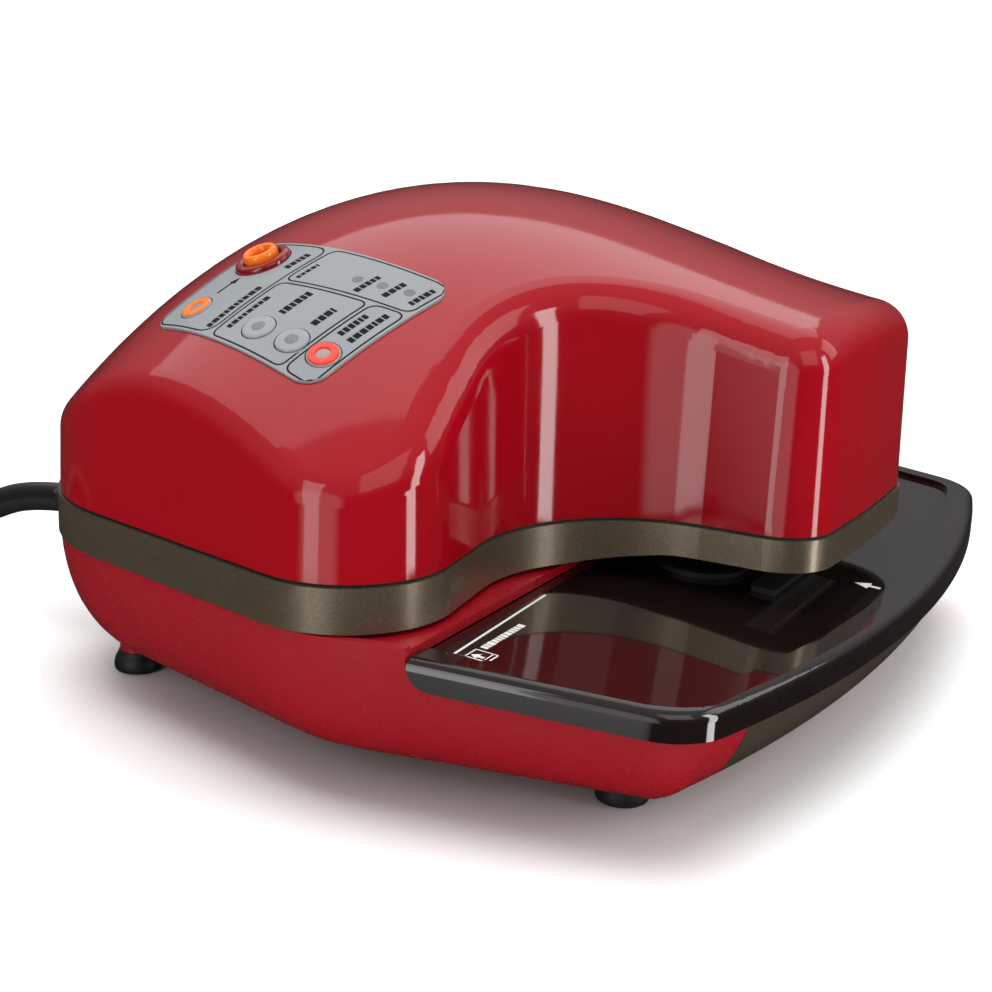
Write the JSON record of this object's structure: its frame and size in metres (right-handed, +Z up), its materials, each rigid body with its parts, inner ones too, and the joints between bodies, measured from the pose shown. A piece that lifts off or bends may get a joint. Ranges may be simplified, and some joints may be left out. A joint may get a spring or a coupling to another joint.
{
  "type": "countertop vacuum sealer",
  "caption": "Countertop vacuum sealer with a T-shaped domed head, a bag tray under its nose, a button panel, a hose port, a pull-out drawer and a flat mains cord.",
  "frame": {"origin": "on the surface that the feet stand on, in the middle of the body's footprint, the cord left out", "axes": "+Z up, -Y towards the bag tray and the user, +X to the user's right"},
  "size_m": [0.3341, 0.4765, 0.1486],
  "materials": {
    "red_shell": "high gloss moulded ABS",
    "red_base": "satin moulded ABS",
    "bronze_trim": "metallic bronze lacquer",
    "black_gloss": "high gloss",
    "black_plastic": "fine moulded texture",
    "black_rubber": "matt",
    "cord_jacket": "satin vinyl jacket",
    "plug_plastic": "satin vinyl",
    "panel_label": "printed silver-grey label",
    "orange_plastic": "gloss",
    "grey_button": "satin",
    "red_button": "gloss",
    "lens_plastic": "frosted",
    "led_plastic": "clear",
    "circuit_board": "solder mask",
    "switch_plastic": "matt",
    "steel": "zinc plated",
    "pump_alloy": "die cast",
    "coil_copper": "enamelled copper",
    "white_plastic": "nylon",
    "seal_tape": "woven release tape",
    "hose_silicone": "translucent silicone",
    "brass_blades": "plated"
  },
  "bodies": {
    "root": {"head_shell": "red_shell", "lower_housing": "red_base", "port_collar": "red_base", "trim_band": "bronze_trim", "bag_tray": "black_gloss", "base_plate": "black_plastic", "nose_cover": "black_plastic", "vacuum_hood": "black_plastic", "drip_cup": "black_plastic", "pump_cradle": "black_plastic", "chassis": "black_plastic", "rubber_feet": "black_rubber", "shell_gasket": "black_rubber", "tray_gasket": "black_rubber", "seal_pad": "black_rubber", "cord_gland": "black_rubber", "power_cord": "cord_jacket", "cord_coil": "cord_jacket", "power_plug": "plug_plastic", "control_panel": "panel_label", "port_nozzle": "orange_plastic", "status_lenses": "lens_plastic", "status_leds": "led_plastic", "control_board": "circuit_board", "power_board": "circuit_board", "tact_switches": "switch_plastic", "base_screws": "steel", "pump_motor": "steel", "drive_motor": "steel", "drive_bridge": "steel", "pump_head": "pump_alloy", "transformer": "coil_copper", "vacuum_hose": "hose_silicone", "plug_blades": "brass_blades"},
    "drawer": {"drawer_front": "bronze_trim", "drawer_box": "black_plastic"},
    "plunger": {"seal_plunger": "white_plastic", "seal_strip": "seal_tape"},
    "screw": {"drive_screw": "steel"},
    "fan": {"cooling_fan": "black_plastic"},
    "press_flexi_tube_button": {"flexi_tube_button": "orange_plastic"},
    "press_moist_button": {"moist_button": "grey_button"},
    "press_dry_button": {"dry_button": "grey_button"},
    "press_stop_button": {"stop_button": "red_button"}
  },
  "joints": [
    {"name": "drawer_slide", "type": "slide", "parent": "root", "child": "drawer", "axis": [0, -1, 0], "range_m": [0, 0.085]},
    {"name": "flexi_tube_button_press", "type": "slide", "parent": "root", "child": "press_flexi_tube_button", "axis": [0.4611, -0.241, -0.854], "range_m": [0, 0.001], "stiffness_N_per_m": 400, "springref_m": -0.001},
    {"name": "moist_button_press", "type": "slide", "parent": "root", "child": "press_moist_button", "axis": [0.5053, 0.0035, -0.8629], "range_m": [0, 0.001], "stiffness_N_per_m": 400, "springref_m": -0.001},
    {"name": "dry_button_press", "type": "slide", "parent": "root", "child": "press_dry_button", "axis": [0.5128, 0.0878, -0.854], "range_m": [0, 0.001], "stiffness_N_per_m": 400, "springref_m": -0.001},
    {"name": "stop_button_press", "type": "slide", "parent": "root", "child": "press_stop_button", "axis": [0.5168, 0.1492, -0.843], "range_m": [0, 0.001], "stiffness_N_per_m": 400, "springref_m": -0.001},
    {"name": "screw_turn", "type": "hinge", "parent": "root", "child": "screw", "pos_m": [0, -0.086, 0.08], "axis": [0, 0, 1], "range_deg": [0, 205]},
    {"name": "plunger_slide", "type": "slide", "parent": "root", "child": "plunger", "axis": [0, 0, -1], "range_m": [0, 0.01]},
    {"name": "fan_spin", "type": "hinge", "parent": "root", "child": "fan", "pos_m": [-0.077, 0.062, 0.06], "axis": [1, 0, 0], "continuous": true}
  ],
  "couplings": [
    {"joint": "screw_turn", "follows": "plunger_slide", "rad_per_m": 349.07}
  ]
}
